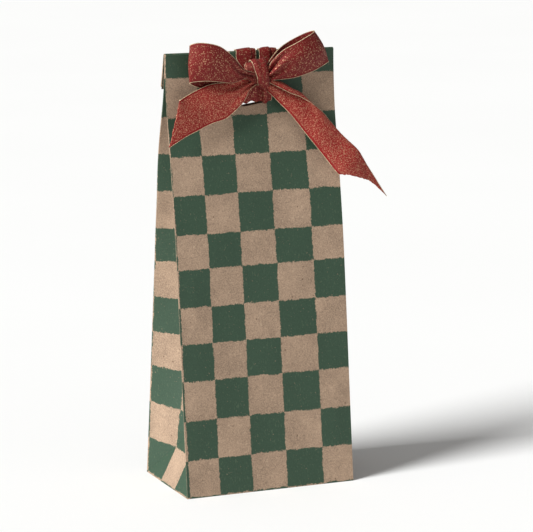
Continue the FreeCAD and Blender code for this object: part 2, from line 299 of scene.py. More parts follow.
def woven_lurex_group():
    """Plain weave with glitter filaments. Ribbon holds metres across and along the ribbon."""
    w, entry = new_group("Woven lurex", Ribbon=None, Pitch=0.45 * MM, Amount=0.5, Half_width=14 * MM)
    ribbon, half = entry["Ribbon"], entry["Half width"]
    across, along, _ = w.split(ribbon)
    turns = w.maths("DIVIDE", math.pi, entry["Pitch"])
    warp, weft = [w.maths("SINE", w.times(way, turns)) for way in (across, along)]
    weave = w.maths("MULTIPLY_ADD", w.times(warp, weft), 0.5, 0.5)
    grain = w.noise(w.stretch(ribbon, (1.0, 0.62, 1.0)), 1650.0, 3.0, 0.8)
    clumps = w.times(w.minus(w.noise(ribbon, 480.0), 0.5), 0.16)
    low = w.minus(0.78, w.times(entry["Amount"], 0.36))
    inner = w.minus(half, 1.6 * MM)
    selvedge = w.ramp(w.maths("ABSOLUTE", w.minus(across, half)), inner, w.plus(inner, 0.4 * MM))
    plain = w.minus(1.0, selvedge)
    glitter = w.times(w.ramp(w.plus(grain, clumps), low, w.plus(low, 0.10)), plain)
    hue, _, _ = w.split(w.cells(ribbon, 1500.0)["Color"])
    return w.leave(Weave=weave, Glitter=glitter, Flash=w.times(w.ramp(hue, 0.86, 0.92), plain))


SPECKS = 0.8                                    # how dark the bark specks are
BARK = (0.10, 0.055, 0.03, 1.0)
PALE_FIBRE = (0.62, 0.47, 0.33, 1.0)
INKED_FIBRE = (0.16, 0.22, 0.13, 1.0)
SPARK = (0.92, 0.62, 0.36, 1.0)


def printed_kraft(paper, layout, groups):
    """Kraft paper printed with the green check."""
    material, shader, w = new_material("Printed kraft")
    place = w.place()
    fold = w.nodes.new("ShaderNodeAttribute")
    fold.attribute_name = "fold"
    fibres = w.group(groups["fibres"], Place=place, Speck_amount=SPECKS)
    block = w.group(groups["print"], Check=w.uv("Check"), Place=place, Ragged=layout.ragged / layout.square)
    scuff = w.group(groups["fold"], Fold=fold.outputs["Fac"], Place=place, Wear=0.42)["Scuff"]
    base = w.mix(w.ramp(fibres["Mottle"], 0.36, 0.64), tint(paper.kraft, 0.66), tint(paper.kraft, 1.32))
    base = w.mix(w.times(fibres["Fibre"], 0.35), base, PALE_FIBRE)
    base = w.mix(fibres["Speck"], base, BARK)
    inked = w.mix(w.ramp(block["Coverage"], 0.35, 0.68), tint(paper.ink, 0.92), tint(paper.ink, 1.14))
    inked = w.mix(w.times(fibres["Fibre"], 0.22), inked, INKED_FIBRE)
    shown = w.times(block["Ink"], w.minus(1.0, scuff))
    w.fill(shader, Base_Color=w.mix(shown, base, inked), Roughness=w.minus(0.86, w.times(shown, 0.30)),
           Specular_IOR_Level=0.35, Normal=w.bump(fibres["Height"], 0.06 * MM, 0.8))
    return material


def plain_kraft(name, paper, groups, shade):
    """Unprinted kraft, for the inside of the bag and its cut edges."""
    material, shader, w = new_material(name)
    fibres = w.group(groups["fibres"], Place=w.place(), Speck_amount=SPECKS)
    base = w.mix(w.ramp(fibres["Mottle"], 0.36, 0.64), tint(paper.kraft, shade * 0.82),
                 tint(paper.kraft, shade * 1.2))
    w.fill(shader, Base_Color=w.mix(fibres["Speck"], base, BARK), Roughness=0.88, Specular_IOR_Level=0.3,
           Normal=w.bump(fibres["Height"], 0.06 * MM, 0.8))
    return material


def glitter_ribbon(name, ribbon, groups, painted_brightness, amount):
    """Red woven ribbon with copper and gold lurex. Its brightness factor paints light and shade into the colour: a
    lighter copy stands in for ribbon that catches more light, a darker one for ribbon in shade.
    """
    material, shader, w = new_material(name)
    cloth = w.group(groups["lurex"], Ribbon=w.uv("Ribbon"), Pitch=0.5 * MM, Amount=amount,
                    Half_width=ribbon.width / 2)
    ground = w.mix(cloth["Weave"], tint(ribbon.red, painted_brightness * 0.42), tint(ribbon.red, painted_brightness))
    colour = w.mix(w.times(cloth["Glitter"], 0.68), ground, tint(ribbon.lurex, 0.75 + 0.25 * painted_brightness))
    colour = w.mix(w.times(cloth["Flash"], 0.32), colour, SPARK)
    metal = w.maths("MAXIMUM", w.times(cloth["Glitter"], 0.45), cloth["Flash"])
    height = w.plus(w.times(cloth["Weave"], 0.7), cloth["Glitter"])
    w.fill(shader, Base_Color=colour, Metallic=w.times(metal, 0.8), Roughness=w.minus(0.62, w.times(metal, 0.22)),
           Sheen_Weight=0.04, Specular_IOR_Level=0.22, Normal=w.bump(height, 0.09 * MM, 0.9))
    return material


def gold_thread(ribbon):
    """Metallised stitching along the ribbon's edges."""
    material, shader, w = new_material("Gold thread")
    twist = w.noise(w.place(), 900.0)
    w.fill(shader, Base_Color=w.mix(w.ramp(twist, 0.35, 0.62), tint(ribbon.gold, 0.6), tuple(ribbon.gold)),
           Roughness=w.maths("MULTIPLY_ADD", twist, 0.3, 0.28), Metallic=0.55)
    return material


MATERIALS = {}


def materials(scene):
    """Every material, made once."""
    if not MATERIALS:
        paper, ribbon = scene.bag_paper, scene.bag_ribbon
        groups = {"fibres": kraft_fibre_group(), "print": block_print_group(), "fold": worn_fold_group(),
                  "lurex": woven_lurex_group()}
        MATERIALS["printed"] = printed_kraft(paper, scene.bag_print, groups)
        MATERIALS["inside"] = plain_kraft("Plain kraft inside", paper, groups, 1.05)
        MATERIALS["edge"] = plain_kraft("Kraft cut edge", paper, groups, 1.35)
        # Painted light and shade: one copy of the ribbon, painted a little darker, for the loops, strands and
        # knot, and a copy painted lighter, with more glitter, for the tails, which catch more light
        MATERIALS["ribbon"] = glitter_ribbon("Glitter ribbon", ribbon, groups, 0.88, 0.56)
        MATERIALS["painted_lit_ribbon"] = glitter_ribbon("Glitter ribbon painted lighter", ribbon, groups, 1.5, 0.72)
        MATERIALS["gold"] = gold_thread(ribbon)
    return MATERIALS


# ---------------------------------------------------------------- mesh helpers


def add_object(name, points, faces, uv_name=None, uvs=None, fold=None, edges=()):
    """An object at the origin. uvs holds one pair per point, and fold one float."""
    mesh = bpy.data.meshes.new(name)
    mesh.from_pydata([tuple(p) for p in points], edges, faces)
    if uvs:
        layer = mesh.uv_layers.new(name=uv_name)
        for loop in mesh.loops:
            layer.data[loop.index].uv = uvs[loop.vertex_index]
    if fold:
        mesh.attributes.new("fold", "FLOAT", "POINT").data.foreach_set("value", fold)
    mesh.validate()
    obj = bpy.data.objects.new(name, mesh)
    bpy.context.scene.collection.objects.link(obj)
    return obj


def apply_modifiers(obj):
    """Replace an object's mesh with its evaluated one and clear its modifiers."""
    bpy.context.view_layer.update()
    evaluated = obj.evaluated_get(bpy.context.evaluated_depsgraph_get())
    mesh = bpy.data.meshes.new_from_object(evaluated)
    obj.modifiers.clear()
    obj.data = mesh
    mesh.name = obj.name


def thicken(obj, thickness, offset, slots):
    """Give an open sheet its thickness. slots is the list of face, back and rim materials."""
    for material in slots:
        obj.data.materials.append(material)
    solid = obj.modifiers.new("Thickness", "SOLIDIFY")
    solid.thickness = thickness
    solid.offset = offset
    solid.use_even_offset = False
    solid.material_offset = 1 if len(slots) > 1 else 0
    solid.material_offset_rim = len(slots) - 1
    apply_modifiers(obj)


def soften(obj, degrees):
    """Smooth shading, kept crisp where faces meet at more than the angle."""
    obj.data.polygons.foreach_set("use_smooth", [True] * len(obj.data.polygons))
    obj.data.set_sharp_from_angle(angle=math.radians(degrees))


def grid_faces(rows, columns):
    """Quads over a grid of points stored row by row, seen from the side where columns run to the right."""
    return [(r * columns + c, r * columns + c + 1, (r + 1) * columns + c + 1, (r + 1) * columns + c)
            for r in range(rows - 1) for c in range(columns - 1)]


def hermite(stations, x):
    """Smooth value at x through (x, value) stations with finite-difference slopes."""
    last = len(stations) - 1
    i = max([k for k in range(last) if x >= stations[k][0]] or [0])

    def slope(k):
        (x0, y0), (x1, y1) = stations[max(k - 1, 0)], stations[min(k + 1, last)]
        return (y1 - y0) / (x1 - x0) if k < last else 0.0

    (x0, y0), (x1, y1) = stations[i], stations[i + 1]
    t = (x - x0) / (x1 - x0)
    return ((2 * t**3 - 3 * t**2 + 1) * y0 + (t**3 - 2 * t**2 + t) * (x1 - x0) * slope(i)
            + (3 * t**2 - 2 * t**3) * y1 + (t**3 - t**2) * (x1 - x0) * slope(i + 1))


def smoothstep(low, high, x):
    t = min(max((x - low) / (high - low), 0.0), 1.0)
    return t * t * (3 - 2 * t)


def ladder(edges, x):
    """Continuous count of squares at x, one more at each of the edges, going on evenly past both ends."""
    k = min(max(bisect.bisect_right(edges, x) - 1, 0), len(edges) - 2)
    return k + (x - edges[k]) / (edges[k + 1] - edges[k])


# ---------------------------------------------------------------- the folded paper

# The bag is one strip of paper. Girth runs from its raw edge at the left front corner along the front,
# the right gusset, the back and the left gusset to the end of the glue lap inside the front.
FRONT_END = 2 * HALF_W
RIGHT_END = FRONT_END + 2 * HALF_D
BACK_END = RIGHT_END + 2 * HALF_W
LEFT_END = BACK_END + 2 * HALF_D
LAP_END = LEFT_END + LAP
GUSSETS = ((FRONT_END, FRONT_END + HALF_D, RIGHT_END), (BACK_END, BACK_END + HALF_D, LEFT_END))
SEAM_Z = CREST_Z - 0.6 * MM          # where the body's sheet hands over to the top fold

# How much fuller the back is than the front, as (height, depth) in millimetres
BACK_FULLNESS = [(z * MM, depth * MM) for z, depth in (
    (0, 0), (165, 0), (193, 0.9), (222, 2), (250, 4.4), (273, 4.8), (287, 3.8), (300, 2), (312, 0.8), (326, 0),
    (CREST_Z / MM, 0))]

# Printed columns along the girth and rows up the height, as the block left them
COLUMN_EDGES = [x * MM for x in (2.2, 27.4, 54.8, 83.8, 114.8, 145)]
COLUMN_PITCH_BACK = 28.03 * MM
LEFT_COLUMNS_START = BACK_END + 1.3 * MM
ROW_EDGES = [z * MM for z in (1, 29.1, 59.2, 89.3, 117.4, 145.4, 174.4, 200.4, 229.9, 258.9, 288.1, 318.4, 347.6)]


def belly(z):
    return hermite([(share * CREST_Z, depth) for share, depth in BELLY], z)


def front_y(z):
    """Printed face of the front panel."""
    return -(CREST_RADIUS + (HALF_D - CREST_RADIUS) * belly(z))


def back_y(z):
    """Printed face of the back panel."""
    return -PLY + (HALF_D + PLY) * belly(z) + hermite(BACK_FULLNESS, z)


def gusset_section(z, side, half, thickness):
    """Edge and centre crease of a gusset half at height z."""
    front = front_y(z) + thickness * (2 if side < 0 else 1)
    back = back_y(z) - thickness
    room = (back - front) / 2
    inset = math.sqrt(max(HALF_D**2 - room**2, 0.0))
    push = Vector((-side * room, half * inset, 0)).normalized() * thickness
    wall = front if half < 0 else back
    return (Vector((side * HALF_W, wall - push.y, z)),
            Vector((side * (HALF_W - inset), (front + back) / 2, z)))


def gusset_point(side, half, s, z, thickness):
    """Point on a gusset, s from its front or back edge towards the centre crease, on the paper's height z."""
    apex = gusset_section(FOOT_Z, side, half, thickness)[1]
    corner = Vector((side * HALF_W, front_y(0) if half < 0 else back_y(0), 0))
    rise = z / HALF_D
    if z < HALF_D and s >= z:
        return corner + Vector((apex.x - corner.x, 0, apex.z)) * rise + Vector((0, -half * s, 0))
    edge = gusset_section(z, side, half, thickness)[0]
    if z < HALF_D:
        return edge.lerp(corner.lerp(apex, rise), s / z)
    share = (z - HALF_D) / (CREST_Z - HALF_D)
    crease = gusset_section(FOOT_Z + share * (CREST_Z - FOOT_Z), side, half, thickness)[1]
    return edge.lerp(crease, s / HALF_D)


def strip_point(girth, z, thickness):
    """Place of the sheet's printed face up to the top crease, without its waves."""
    if girth <= FRONT_END:
        return Vector((girth - HALF_W, front_y(z), z))
    if RIGHT_END <= girth <= BACK_END:
        return Vector((HALF_W - (girth - RIGHT_END), back_y(z), z))
    if girth >= LEFT_END:
        return Vector((-HALF_W + girth - LEFT_END, front_y(z) + thickness, z))
    side, start = (1, FRONT_END) if girth < RIGHT_END else (-1, BACK_END)
    s = girth - start
    half = -side if s <= HALF_D else side
    return gusset_point(side, half, min(s, 2 * HALF_D - s), z, thickness)


BUCKLE_REACH = 14 * MM               # how far from a crease the paper stays flat
BUCKLE_RISE = (2 * MM, 50 * MM)      # heights between which the waves grow, and then fade
BUCKLE_FADE = (CREST_Z - 45 * MM, CREST_Z - 8 * MM)
# Frequency of the waves along the girth and up the height, their offset, and their share of the amount
BUCKLE_WAVES = ((16, 9, 3.1, 1.6), (40, 26, 8.7, 0.72))
# How worn each kind of crease is, and how far beside it the wear fades out
SEAM_WEAR, FOLD_WEAR, CENTRE_WEAR, FOOT_WEAR, CREST_WEAR = 0.55, 0.5, 0.45, 0.35, 0.8
SEAM_WEAR_RISE = (80 * MM, 170 * MM)
WEAR_FADE = (0.4 * MM, 1.1 * MM)


def buckle(girth, z, amount):
    """Shallow waves of the sheet, fading out towards its creases and its ends."""
    if girth > LEFT_END:
        return 0.0
    creases = (0.0, FRONT_END, FRONT_END + HALF_D, RIGHT_END, BACK_END, BACK_END + HALF_D, LEFT_END)
    hold = min(smoothstep(0.0, BUCKLE_REACH, abs(girth - c)) for c in creases)
    hold *= smoothstep(*BUCKLE_RISE, z) * (1 - smoothstep(*BUCKLE_FADE, z))
    return hold * amount * sum(share * noise.noise(Vector((girth * across, z * up, offset)))
                               for across, up, offset, share in BUCKLE_WAVES)


def crease_mark(girth, z):
    """How worn the paper is: 1 on the cut edge by the seam, less on its other creases, 0 beside them."""
    seam = min(abs(girth), abs(girth - LEFT_END))
    marks = [(seam, SEAM_WEAR + (1 - SEAM_WEAR) * smoothstep(*SEAM_WEAR_RISE, z))]
    marks += [(abs(girth - c), FOLD_WEAR) for c in (FRONT_END, RIGHT_END, BACK_END)]
    for low, middle, high in GUSSETS:
        if low < girth < high:
            marks += [(abs(girth - middle), CENTRE_WEAR), (abs(z - HALF_D), FOOT_WEAR)]
            if z < HALF_D:
                marks.append((abs(min(girth - low, high - girth) - z), FOOT_WEAR))
    return max(wear * (1 - smoothstep(*WEAR_FADE, gap)) for gap, wear in marks)


def spread(low, high, cell):
    """Grid lines from low to high, closer beside both ends."""
    first, second = 0.45 * MM, 1.1 * MM
    count = max(round((high - low - 2 * second) / cell), 2)
    inner = [low + second + (high - low - 2 * second) * k / count for k in range(count + 1)]
    return [low, low + first] + inner + [high - first]


def girth_lines(cell):
    stops = [0.0] + [stop for gusset in GUSSETS for stop in gusset]
    lines = [line for low, high in zip(stops, stops[1:]) for line in spread(low, high, cell)]
    return lines + [LEFT_END, LEFT_END + LAP / 3, LEFT_END + 2 * LAP / 3, LAP_END]


def check_uv(girth, z, layout):
    """Columns and rows of the printed check, counted in squares."""
    leaned = girth + z * math.tan(layout.slant)
    last = len(COLUMN_EDGES) - 1
    if leaned < COLUMN_EDGES[-1]:
        column = ladder(COLUMN_EDGES, leaned)
    elif leaned < LEFT_COLUMNS_START:
        column = last + (leaned - COLUMN_EDGES[-1]) / COLUMN_PITCH_BACK
    else:
        first = last + round((LEFT_COLUMNS_START - COLUMN_EDGES[-1]) / COLUMN_PITCH_BACK)
        column = first + (leaned - LEFT_COLUMNS_START) / layout.square
    return column, ladder(ROW_EDGES, z - layout.bottom_edge + ROW_EDGES[0])


def paper_piece(name, points, faces, uvs, marks, scene, sharp=24, share=1.0):
    """A printed sheet with its thickness, crisp along its folds."""
    made = materials(scene)
    obj = add_object(name, points, faces, "Check", uvs, marks)
    soften(obj, sharp)
    thicken(obj, scene.bag_paper.thickness * share, -1.0, [made["printed"], made["inside"], made["edge"]])
    return obj


# The knot's pull tilts the slot a little
SLOT_X, SLOT_Z, SLOT_SLANT = 3 * MM, BAG_HEIGHT - 35 * MM, math.radians(9)
SLOT_LENGTH, SLOT_HEIGHT = 30 * MM, 12 * MM


def cut_slot(obj):
    """Cut the ribbon's obround slot through both panels."""
    r = SLOT_HEIGHT / 2
    outline = []
    for side in (1, -1):
        for k in range(17):
            a = math.pi * k / 16 - math.pi / 2
            along, up = side * (SLOT_LENGTH / 2 - r + r * math.cos(a)), side * r * math.sin(a)
            outline.append((SLOT_X + along * math.cos(SLOT_SLANT) - up * math.sin(SLOT_SLANT),
                            SLOT_Z + along * math.sin(SLOT_SLANT) + up * math.cos(SLOT_SLANT)))
    count = len(outline)
    points = [(x, y, z) for y in (-HALF_D, HALF_D) for x, z in outline]
    faces = [tuple(range(count)), tuple(reversed(range(count, 2 * count)))]
    faces += [(k + count, (k + 1) % count + count, (k + 1) % count, k) for k in range(count)]
    cutter = add_object("slot_cutter", points, faces)
    cut = obj.modifiers.new("Slot", "BOOLEAN")
    cut.operation = "DIFFERENCE"
    cut.object = cutter
    cut.solver = "EXACT"
    apply_modifiers(obj)
    bpy.data.objects.remove(cutter)


CREASE_SLACK = 0.05 * MM             # how near a mesh line has to be to a crease to lie on it


class GIFTBAG_OT_paper(bpy.types.Operator):
    """Fold the printed sheet into the bag's body"""
    bl_idname = "giftbag.paper"
    bl_label = "Bag Paper"

    def execute(self, context):
        paper, layout = context.scene.bag_paper, context.scene.bag_print
        columns = girth_lines(paper.cell)
        rows = spread(0.0, HALF_D, paper.cell) + spread(HALF_D, SEAM_Z, paper.cell) + [SEAM_Z]
        step = 0.2 * MM
        points, uvs, marks = [], [], []
        for z in rows:
            for girth in columns:
                along = (strip_point(min(girth + step, LAP_END), z, paper.thickness)
                         - strip_point(max(girth - step, 0.0), z, paper.thickness))
                outward = Vector((along.y, -along.x, 0)).normalized()
                points.append(strip_point(girth, z, paper.thickness) + outward * buckle(girth, z, paper.buckle))
                uvs.append(check_uv(girth, z, layout))
                marks.append(crease_mark(girth, z))
        obj = paper_piece("bag_paper", points, self.faces(rows, columns), uvs, marks, context.scene)
        for vertex in obj.data.vertices:
            vertex.co.z = max(vertex.co.z, 0.0)
        cut_slot(obj)
        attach(obj, "bag")
        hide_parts("front_panel", "back_panel", "seam_lap",
                    *[f"{side}_gusset_{part}" for side in ("left", "right") for part in ("front", "back", "foot")])
        return {"FINISHED"}

    def faces(self, rows, columns):
        """Quads, cut into triangles along the diagonal creases of the gusset feet."""
        faces = []
        for a, b, e, d in grid_faces(len(rows), len(columns)):
            r, c = divmod(a, len(columns))
            low, high = self.depth(columns[c:c + 2])
            if rows[r + 1] > HALF_D + CREASE_SLACK or max(low, high) < 0:
                faces.append((a, b, e, d))
            elif abs(low - rows[r]) < CREASE_SLACK and abs(high - rows[r + 1]) < CREASE_SLACK:
                faces += [(a, b, e), (a, e, d)]
            elif abs(high - rows[r]) < CREASE_SLACK and abs(low - rows[r + 1]) < CREASE_SLACK:
                faces += [(a, b, d), (b, e, d)]
            else:
                faces.append((a, b, e, d))
        return faces

    def depth(self, pair):
        """How far each of two columns lies inside the gusset that they share, or -1."""
        for start, _, end in GUSSETS:
            if start <= pair[0] and pair[1] <= end:
                return [min(girth - start, end - girth) for girth in pair]
        return -1.0, -1.0


FOLD_BENDS, FOLD_DROPS = 14, 10      # rows of the mesh round the crest and down the flap
WORN_BENDS = (0.15, 0.55)            # the part of the bend that is worn
PLY_SLIP = 0.45                      # how far the inner plies slide out past the outer ones
FLAP_FAN = math.radians(1.2)
FLAP_WAVE = 0.5 * MM


class GIFTBAG_OT_top_fold(bpy.types.Operator):
    """Carry the sheet over the top crease and down behind the bag"""
    bl_idname = "giftbag.top_fold"
    bl_label = "Top Fold"

    def execute(self, context):
        paper, layout = context.scene.bag_paper, context.scene.bag_print
        columns = girth_lines(paper.cell)
        length = (CREST_Z - FLAP_END_Z) / math.cos(FLAP_TILT)
        sweep = math.pi - FLAP_TILT
        steps = [("rise", 0.0)] + [("bend", sweep * k / FOLD_BENDS) for k in range(FOLD_BENDS + 1)]
        steps += [("drop", k / FOLD_DROPS) for k in range(1, FOLD_DROPS + 1)]
        points, uvs, marks = [], [], []
        for kind, amount in steps:
            for girth in columns:
                foot = strip_point(girth, CREST_Z, paper.thickness)
                radius = -foot.y
                worn = 0.0
                if kind == "rise":
                    point, run = strip_point(girth, SEAM_Z, paper.thickness), SEAM_Z
                elif kind == "bend":
                    point = Vector((foot.x, -radius * math.cos(amount), CREST_Z + radius * math.sin(amount)))
                    run = CREST_Z + CREST_RADIUS * amount
                    worn = CREST_WEAR if WORN_BENDS[0] < amount / sweep < WORN_BENDS[1] else 0.0
                else:
                    # the plies slide on each other round the crest and fan out a little below it
                    down = amount * (length + PLY_SLIP * sweep * (CREST_RADIUS - radius))
                    tilt = FLAP_TILT + FLAP_FAN * (radius / CREST_RADIUS - 0.5) * amount
                    wave = FLAP_WAVE * amount * noise.noise(Vector((foot.x * 22, down * 20, 5.0)))
                    point = Vector((foot.x, -radius * math.cos(sweep) + down * math.sin(tilt) + wave,
                                    CREST_Z + radius * math.sin(sweep) - down * math.cos(tilt)))
                    run = CREST_Z + CREST_RADIUS * sweep + down
                points.append(point)
                uvs.append(check_uv(girth, run, layout))
                marks.append(max(worn, crease_mark(girth, run)))
        obj = paper_piece("top_fold", points, grid_faces(len(steps), len(columns)), uvs, marks, context.scene)
        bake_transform(obj)
        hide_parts("top_flap_outer_ply", "top_flap_inner_ply", "top_flap_left_gusset",
                    "top_flap_right_gusset")
        return {"FINISHED"}


PLY_CELLS = 16                       # mesh cells along each side of a base ply
PLY_WAVE, PLY_GAP = 0.10 * MM, 0.03 * MM


class GIFTBAG_OT_base(bpy.types.Operator):
    """Fold the flaps and tucks under the bag"""
    bl_idname = "giftbag.base"
    bl_label = "Base"

    def execute(self, context):
        for side, part in (("front", "flap"), ("back", "flap"), ("left", "tuck"), ("right", "tuck")):
            name = f"{side}_base_ply" if part == "flap" else f"{side}_tuck_ply"
            self.ply(name, side, f"{side}_base_{part}", context.scene)
        return {"FINISHED"}

    def ply(self, name, side, node, scene):
        """One flat ply in the place of its node, printed on its underside."""
        low, high = [Vector(corner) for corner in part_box(node)]
        points, uvs = [], []
        for r in range(PLY_CELLS + 1):
            for c in range(PLY_CELLS + 1):
                u, v = c / PLY_CELLS, r / PLY_CELLS
                x, y = low.x + (high.x - low.x) * u, low.y + (high.y - low.y) * v
                if side in ("left", "right"):
                    # the corners are folded at 45 degrees
                    depth = (x - low.x) if side == "left" else (high.x - x)
                    y = low.y + depth + (high.y - low.y - 2 * depth) * v
                wave = PLY_WAVE * noise.noise(Vector((x * 45, y * 45, 2.0)))
                points.append((x, y, low.z + PLY_GAP + max(wave, 0.0)))
                out = {"front": (x + HALF_W, front_y(0) - y), "back": (RIGHT_END + HALF_W - x, y - back_y(0)),
                       "left": (BACK_END + HALF_D - y, low.x - x), "right": (FRONT_END + HALF_D + y, x - high.x)}
                uvs.append(check_uv(*out[side], scene.bag_print))
        faces = [tuple(reversed(face)) for face in grid_faces(PLY_CELLS + 1, PLY_CELLS + 1)]
        obj = paper_piece(name, points, faces, uvs, [0.0] * len(points), scene, sharp=30, share=0.8)
        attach(obj, "bag")
        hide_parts(node)


# ---------------------------------------------------------------- ribbon

# Control points of each length of ribbon, in millimetres. Every row runs across the ribbon from its
# lower or left edge to its upper or right edge, and the rows follow on from the knot outwards.
LEFT_LOOP = [
    [(-3, -13, 316.5), (-3, -14.5, 319), (-3, -13, 321.5)],
    [(-9.3, -14.1, 317.4), (-10, -17.1, 320.5), (-10.7, -15, 324.1)],
    [(-16.2, -16, 315.2), (-17.2, -20.3, 322.1), (-18.1, -19.7, 330.5)],
    [(-22.6, -16.7, 314.3), (-24.3, -23.1, 325.2), (-25.7, -23.6, 337.3)],
    [(-31.5, -17.9, 315.9), (-33.4, -24.9, 329.7), (-34.4, -25.5, 343.2)],
    [(-40.5, -17.6, 316.9), (-43.4, -23.9, 331.2), (-43.9, -25, 345.9)],
    [(-48.6, -15.2, 316.7), (-51.3, -20.3, 331.2), (-51.7, -21.9, 346.2)],
    [(-54.1, -12.8, 315.5), (-55.4, -15, 330.1), (-55.5, -15.8, 344)],
    [(-51.5, -10.8, 313.4), (-52, -10, 328), (-51.5, -9.4, 341.5)],
    [(-43, -8.8, 310.6), (-42, -7, 325), (-41, -7.2, 338)],
    [(-31, -7.4, 308.4), (-30, -5.6, 320), (-29, -6.2, 332)],
    [(-19, -7.8, 309), (-18.5, -6.4, 318), (-18, -6.8, 326)],
    [(-10, -9.6, 313), (-10, -8.8, 317), (-10, -9.2, 321)],
    [(-3, -10.6, 315.5), (-3, -10.3, 318), (-3, -10.6, 320.5)],
]
RIGHT_LOOP = [
    [(9, -12.5, 315.5), (9, -14, 319), (9, -12.5, 322.5)],
    [(14, -12.9, 315), (13.4, -16.9, 322.1), (12.4, -15.4, 329.8)],
    [(23.6, -13.5, 315.5), (21.7, -19.4, 326.6), (19.7, -18.7, 337.6)],
    [(35.4, -14.7, 317.5), (32.2, -21.8, 331.2), (29.3, -20.6, 342.8)],
    [(46, -14.9, 320.5), (42.1, -21.6, 334.2), (37.6, -21, 346.9)],
    [(55.4, -14.2, 324.3), (50.7, -19.4, 337.7), (44.3, -18.9, 349.8)],
    [(61.4, -12.2, 327.1), (55.8, -14.5, 339.5), (48.3, -13.8, 351.1)],
    [(57.5, -10.5, 326.5), (53.5, -9.6, 338.4), (47.3, -8, 350.4)],
    [(48, -8.5, 322.8), (45, -6, 334.5), (41, -4.6, 347.5)],
    [(37, -7.8, 319), (34, -5, 331), (30.5, -3.6, 342.3)],
    [(26, -8, 316.5), (23.5, -6, 326), (21, -4.8, 336.5)],
    [(15, -9.5, 314.5), (14, -8, 320.5), (12.5, -8, 328)],
    [(9, -10.8, 315), (9, -10.2, 319), (9, -10.8, 322.5)],
]
LEFT_TAIL = [
    [(0.4, -12, 311.8), (-2.5, -11, 314.5), (-5, -9, 316.5)],
    [(-5.6, -13, 308), (-9.5, -12.6, 311.2), (-13, -8.6, 314.4)],
    [(-10.6, -13, 298.8), (-17, -13, 306), (-23, -8.6, 313.8)],
    [(-23.6, -13.4, 288), (-29.5, -14, 301), (-35, -9.9, 313.5)],
    [(-37, -14, 284), (-42, -14.8, 297.5), (-46.5, -11.5, 310.2)],
    [(-48, -16.5, 280), (-52, -16.8, 293.5), (-55.5, -13.8, 306.8)],
    [(-60, -18.5, 275.4), (-61.5, -18.5, 289), (-63.2, -16, 303.4)],
    [(-74, -20, 268), (-69.4, -19.4, 285.5), (-63.8, -16.2, 303.2)],
]
RIGHT_TAIL = [
    [(8, -7.5, 310), (9.5, -9.5, 312), (11.5, -9, 314), (13, -11.5, 314.5), (11, -13.5, 313)],
    [(13.5, -8, 304.5), (17, -11, 307.5), (21, -9, 312.5), (21.5, -12.5, 312.5), (16.5, -15, 310)],
    [(19, -11, 298), (24.5, -12.5, 302.5), (30, -10.5, 307.8), (30.6, -14, 306.8), (26.5, -15.8, 304.6)],
    [(28, -15, 288), (34, -15.4, 294), (39.8, -12.4, 301), (40.6, -14.4, 300.4), (39.2, -15.2, 299.8)],
    [(42, -19.5, 269.4), (46.5, -19.6, 276.6), (51.2, -18, 284.2), (53.6, -16.4, 288), (54.6, -15.6, 288.6)],
    [(55, -23, 252.4), (60, -24, 259.4), (65.8, -22.4, 266), (69.6, -21, 269.2), (70.6, -20.4, 269.2)],
    [(60, -25, 245.4), (67.6, -27.4, 248.8), (76.8, -26.4, 252.6), (83.4, -24.6, 253.6), (85.4, -23.6, 252.4)],
    [(64, -26.5, 240.6), (73.6, -29.6, 239.8), (85, -28.5, 236.5), (92.6, -26.6, 232.8), (104.6, -26.6, 221.6)],
]
KNOT_WRAP = [
    [(-3.4, -13.6, 328.8), (-0.8, -15.6, 328.8), (2.4, -15.4, 328.2), (5.4, -15.6, 328.4), (8, -13.6, 329.6)],
    [(-2.2, -16, 323.2), (0.2, -17.6, 323), (3.4, -17.6, 322.5), (6.4, -17.8, 322.8), (9, -16.2, 323.2)],
    [(-0.4, -16.6, 317.6), (1.8, -18, 317.4), (4.2, -17.8, 317.2), (6.8, -17.8, 317), (9.4, -16.4, 317)],
    [(0.4, -15.2, 314), (2.6, -16.2, 312.8), (5, -16, 311.6), (7.4, -16, 311), (9.8, -15, 311)],
    [(2.4, -11.6, 311.4), (4, -12.4, 310), (5.6, -12.2, 308.8), (7.4, -12, 308), (9, -10.4, 308.4)],
    [(1.4, -7.4, 311.4), (3, -7.2, 310), (5, -7, 309), (7, -7.2, 308.6), (8.8, -7.4, 309.4)],
    [(-2, -6, 314.6), (0.8, -5.6, 314.6), (3.6, -5.4, 314.6), (6.6, -5.6, 314.6), (9, -6, 314.6)],
    [(-3, -5.6, 321), (0, -5.2, 321), (3, -5, 321), (6, -5.2, 321), (9, -5.6, 321)],
    [(-3.4, -6.4, 327.2), (-0.4, -5.8, 327.8), (2.8, -5.6, 328), (5.6, -5.8, 328), (8.4, -6.4, 328.4)],
    [(-3.8, -9, 330.4), (-0.8, -10.6, 331.4), (2.4, -10.4, 331), (5.2, -10.8, 331.6), (8, -9, 332)],
]
UNDER_TURN = [
    [(-6.2, -8, 328), (-4, -10.4, 328.8), (2, -11, 328.6)],
    [(-7.6, -9, 325.2), (-5, -12.4, 325.8), (2.4, -12.6, 325.4)],
    [(-7.8, -9.6, 320.6), (-5, -13.6, 320.6), (2.8, -13.2, 320.4)],
    [(-6, -9.6, 316.4), (-3.4, -13.2, 316), (3.8, -13, 316)],
    [(-3.4, -8.4, 313.2), (-1, -11.4, 313), (5.4, -11.6, 313)],
    [(-1.4, -7.4, 311.8), (1, -9, 311.8), (6.6, -9.4, 311.8)],
]
